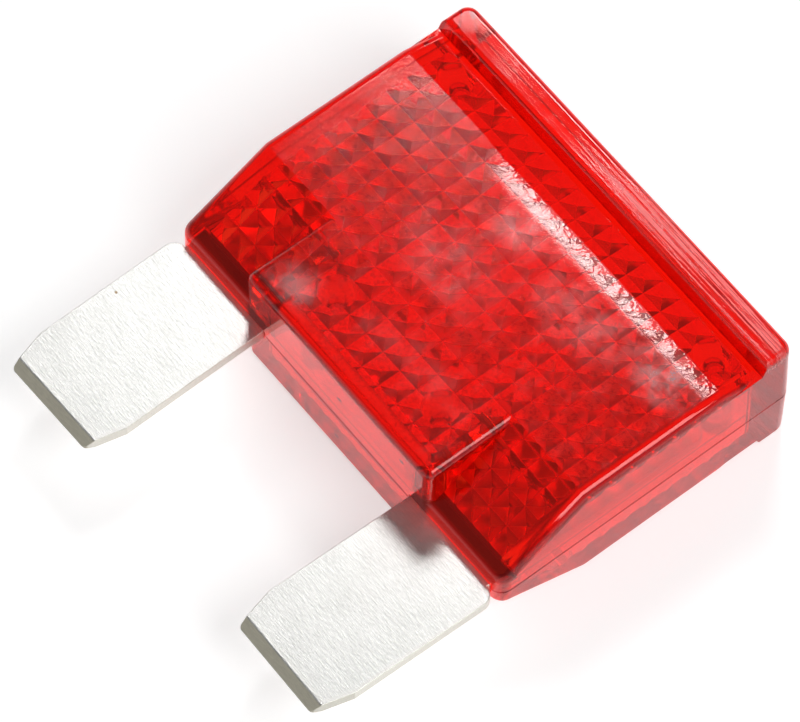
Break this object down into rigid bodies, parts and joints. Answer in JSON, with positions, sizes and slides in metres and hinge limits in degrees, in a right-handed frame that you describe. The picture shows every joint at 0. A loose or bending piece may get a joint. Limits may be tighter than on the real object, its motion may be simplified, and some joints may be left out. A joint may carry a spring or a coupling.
{
  "type": "automotive blade fuse",
  "caption": "Large plug-in blade fuse: translucent red two-part housing with a grip ridge, sloped corners and two flat metal blades.",
  "frame": {"origin": "centre of the bounding box's footprint, on the plane the fuse lies on", "axes": "+X from the left blade to the right one, +Y from the blade tips to the grip ridge, +Z from the back face to the front face"},
  "size_m": [0.0296, 0.0341, 0.0093],
  "materials": {
    "cover_plastic": "translucent red moulded plastic, fine matte on the faces, gloss on slopes and sides",
    "plated_metal": "satin silver-coloured plated zinc strip with fine cross-wise grain"
  },
  "bodies": {
    "root": {"front_cover": "cover_plastic", "back_cover": "cover_plastic", "fuse_element": "plated_metal"}
  },
  "joints": []
}
